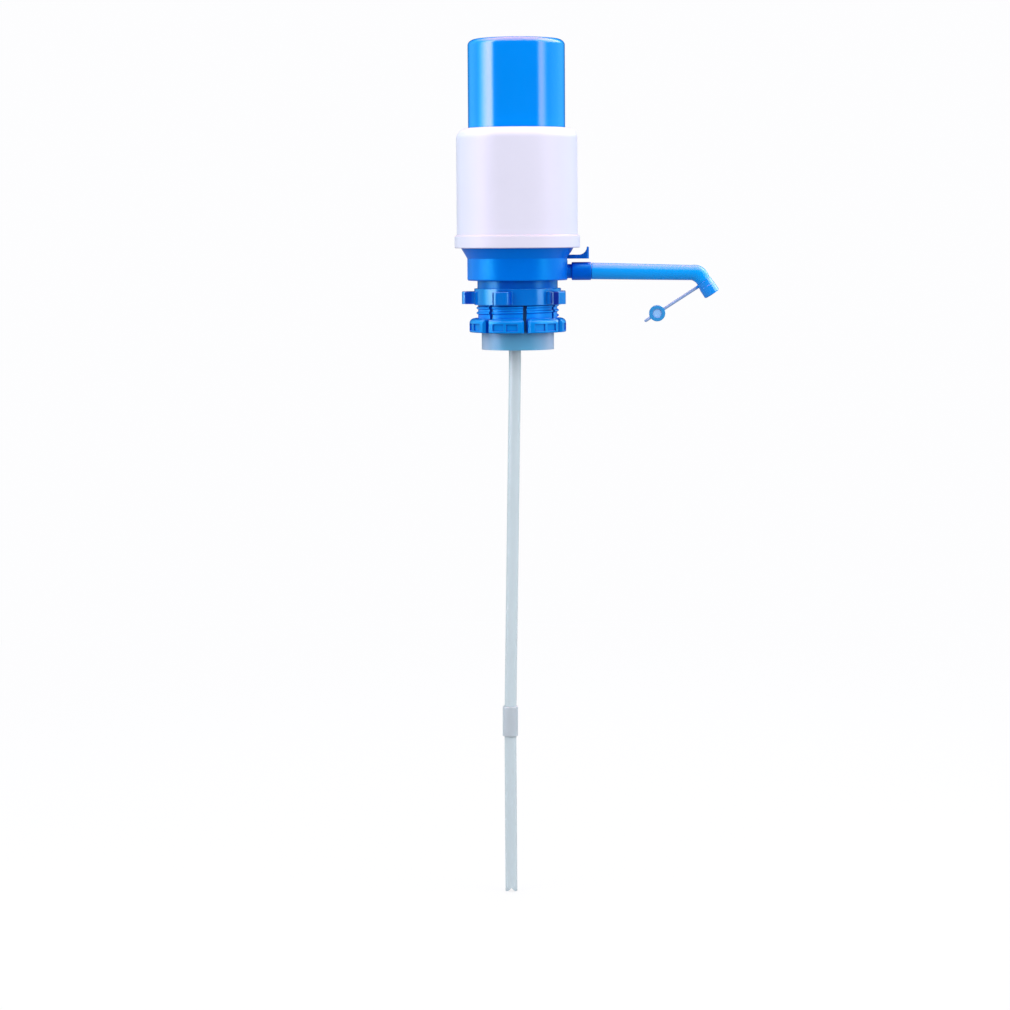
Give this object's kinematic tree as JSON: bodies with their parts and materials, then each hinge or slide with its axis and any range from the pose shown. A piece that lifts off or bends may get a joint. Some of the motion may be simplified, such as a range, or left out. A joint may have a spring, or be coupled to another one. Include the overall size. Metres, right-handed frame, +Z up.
{
  "type": "water jug hand pump",
  "caption": "Hand-pressed air pump for a large water bottle: blue push cap over a white shell, clamping collet, swivel spout with tethered plug, and dip tube.",
  "frame": {"origin": "centre of the neck gasket's mouth, where the bottle's neck goes in", "axes": "+Z up along the pump's axis, towards the push cap; +X along the spout; -Y towards the viewer"},
  "size_m": [0.2076, 0.0986, 0.6771],
  "materials": {
    "cap_blue": "gloss",
    "shell_white": "gloss",
    "body_blue": "satin",
    "collet_blue": "satin",
    "ring_blue": "gloss",
    "spout_blue": "gloss",
    "lever_blue": "satin",
    "gasket_clear": "satin",
    "tube_clear": "gloss",
    "coupler_clear": "satin",
    "tether_blue": "satin",
    "seal_black": "matte",
    "valve_rubber": "matte",
    "bellows_white": "satin",
    "inner_white": "satin",
    "spring_steel": "bright",
    "screw_steel": "bright"
  },
  "bodies": {
    "base": {"base_body": "body_blue", "outer_shell": "shell_white", "neck_collet": "collet_blue", "neck_gasket": "gasket_clear", "riser_elbow": "inner_white", "riser_oring": "seal_black", "dip_tube_upper": "tube_clear", "tube_coupler": "coupler_clear", "dip_tube_lower": "tube_clear", "intake_valve": "valve_rubber", "outlet_valve": "valve_rubber", "bellows": "bellows_white", "return_spring": "spring_steel", "bellows_clamp_ring": "inner_white", "clamp_screws": "screw_steel", "lever_pin": "spring_steel", "lever_spring": "spring_steel"},
    "cap": {"push_cap": "cap_blue", "spring_plate": "inner_white"},
    "ring": {"lock_ring": "ring_blue"},
    "lever": {"release_lever": "lever_blue", "vent_seal": "seal_black"},
    "spout": {"spout": "spout_blue", "spout_orings": "seal_black"},
    "tether": {"plug_tether": "tether_blue"}
  },
  "joints": [
    {"name": "cap_press", "type": "slide", "parent": "base", "child": "cap", "axis": [0, 0, -1], "range_m": [0, 0.052], "stiffness_N_per_m": 250, "springref_m": -0.03, "deforming": ["bellows", "return_spring"]},
    {"name": "ring_turn", "type": "hinge", "parent": "base", "child": "ring", "pos_m": [0, 0, 0.0415], "axis": [0, 0, 1], "range_deg": [-936, 0]},
    {"name": "lever_press", "type": "hinge", "parent": "base", "child": "lever", "pos_m": [0.033, 0, 0.0724], "axis": [0, 1, 0], "range_deg": [0, 5.5], "stiffness_Nm_per_rad": 0.05, "springref_deg": -17.19, "deforming": ["lever_spring"]},
    {"name": "spout_turn", "type": "hinge", "parent": "base", "child": "spout", "pos_m": [0.058, 0, 0.06105], "axis": [1, 0, 0], "continuous": true},
    {"name": "tether_swivel", "type": "hinge", "parent": "spout", "child": "tether", "pos_m": [0.15325, 0, 0.04229], "axis": [0.5446, 0, -0.8387], "continuous": true}
  ]
}
